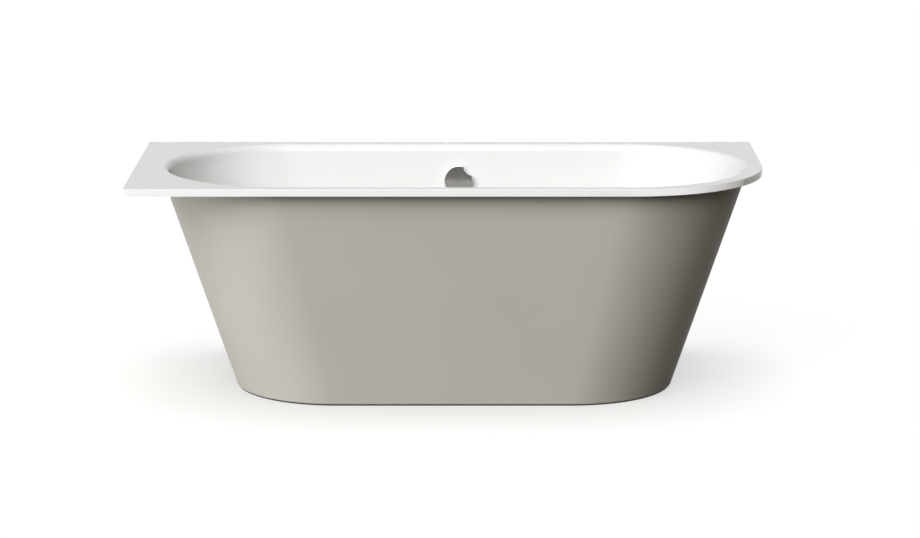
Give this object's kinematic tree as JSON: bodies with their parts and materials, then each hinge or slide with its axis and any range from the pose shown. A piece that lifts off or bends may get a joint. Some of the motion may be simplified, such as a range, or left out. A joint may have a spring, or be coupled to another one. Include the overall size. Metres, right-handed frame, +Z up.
{
  "type": "built-in bathtub",
  "caption": "Corner bathtub with a square wall end and a round free end, a soft oval basin, a leaning apron, a turn-knob waste with overflow and adjustable feet.",
  "frame": {"origin": "on the floor under the middle of the rim's outline", "axes": "+X along the bath towards its round free end, +Y to the wall behind it, +Z up"},
  "size_m": [1.7, 0.75, 0.6],
  "materials": {
    "white_enamel": "gloss",
    "greige_enamel": "matt",
    "galvanised_steel": "satin",
    "zinc_plated_steel": "satin",
    "chrome": "polished",
    "plain_brass": "satin",
    "black_rubber": "matt",
    "butyl_rubber": "matt",
    "bitumen_sheet": "matt",
    "white_plastic": "satin",
    "grey_plastic": "satin",
    "black_plastic": "satin"
  },
  "bodies": {
    "bath": {"bath_shell": "white_enamel", "apron_panel": "greige_enamel", "apron_stiffeners": "galvanised_steel", "apron_floor_brackets": "galvanised_steel", "apron_wall_angles": "galvanised_steel", "foot_rail_left": "galvanised_steel", "foot_rail_right": "galvanised_steel", "back_wall_anchors": "galvanised_steel", "left_wall_anchors": "galvanised_steel", "earth_tab": "galvanised_steel", "rail_nuts": "zinc_plated_steel", "foot_lock_nuts": "zinc_plated_steel", "overflow_screws": "zinc_plated_steel", "lever_pin": "zinc_plated_steel", "cable_ferrules": "zinc_plated_steel", "overflow_flange": "chrome", "waste_flange": "chrome", "apron_base_seal": "black_rubber", "overflow_seal": "black_rubber", "waste_seal": "black_rubber", "waste_top_ring": "black_rubber", "trap_seals": "black_rubber", "rail_pads": "butyl_rubber", "floor_sound_pads": "bitumen_sheet", "wall_sound_pads": "bitumen_sheet", "overflow_pipe": "white_plastic", "trap_body": "white_plastic", "overflow_body": "grey_plastic", "waste_body": "grey_plastic", "overflow_pipe_nuts": "grey_plastic", "trap_nut": "grey_plastic", "trap_cleaning_cap": "grey_plastic", "apron_clips": "black_plastic", "cable_sheath": "black_plastic"},
    "knob": {"overflow_knob": "chrome", "knob_spindle": "plain_brass", "knob_grub_screw": "zinc_plated_steel"},
    "plug": {"drain_plug": "chrome", "plug_seal": "black_rubber", "plug_stem": "plain_brass"},
    "lever": {"lift_lever": "plain_brass"},
    "slider": {"cable_slider": "plain_brass"},
    "outlet": {"outlet_elbow": "white_plastic", "outlet_nut": "grey_plastic"},
    "foot_front_left": {"foot_spindle_front_left": "zinc_plated_steel", "foot_plate_front_left": "black_plastic", "foot_sole_front_left": "black_rubber"},
    "foot_front_right": {"foot_spindle_front_right": "zinc_plated_steel", "foot_plate_front_right": "black_plastic", "foot_sole_front_right": "black_rubber"},
    "foot_back_left": {"foot_spindle_back_left": "zinc_plated_steel", "foot_plate_back_left": "black_plastic", "foot_sole_back_left": "black_rubber"},
    "foot_back_right": {"foot_spindle_back_right": "zinc_plated_steel", "foot_plate_back_right": "black_plastic", "foot_sole_back_right": "black_rubber"}
  },
  "joints": [
    {"name": "knob_turn", "type": "hinge", "parent": "bath", "child": "knob", "pos_m": [0.026, 0.30979, 0.502], "axis": [0, -0.9816, 0.1908], "range_deg": [0, 90]},
    {"name": "plug_lift", "type": "slide", "parent": "bath", "child": "plug", "axis": [0, 0, 1], "range_m": [0, 0.0101]},
    {"name": "lever_swing", "type": "hinge", "parent": "bath", "child": "lever", "pos_m": [0.043, 0, 0.122], "axis": [0, 1, 0], "range_deg": [0, 34.31]},
    {"name": "slider_push", "type": "slide", "parent": "bath", "child": "slider", "axis": [-1, 0, 0], "range_m": [0, 0.00775]},
    {"name": "outlet_swivel", "type": "hinge", "parent": "bath", "child": "outlet", "pos_m": [-0.034, 0, 0.0803], "axis": [0, 0, 1], "range_deg": [0, 40]},
    {"name": "foot_height_front_left", "type": "slide", "parent": "bath", "child": "foot_front_left", "axis": [0, 0, 1], "range_m": [-0.015, 0.006]},
    {"name": "foot_height_front_right", "type": "slide", "parent": "bath", "child": "foot_front_right", "axis": [0, 0, 1], "range_m": [-0.015, 0.006]},
    {"name": "foot_height_back_left", "type": "slide", "parent": "bath", "child": "foot_back_left", "axis": [0, 0, 1], "range_m": [-0.015, 0.006]},
    {"name": "foot_height_back_right", "type": "slide", "parent": "bath", "child": "foot_back_right", "axis": [0, 0, 1], "range_m": [-0.015, 0.006]}
  ],
  "couplings": [
    {"joint": "plug_lift", "follows": "knob_turn", "m_per_rad": 0.0063662},
    {"joint": "lever_swing", "follows": "knob_turn", "ratio": 0.3801},
    {"joint": "slider_push", "follows": "knob_turn", "m_per_rad": 0.0048683}
  ]
}
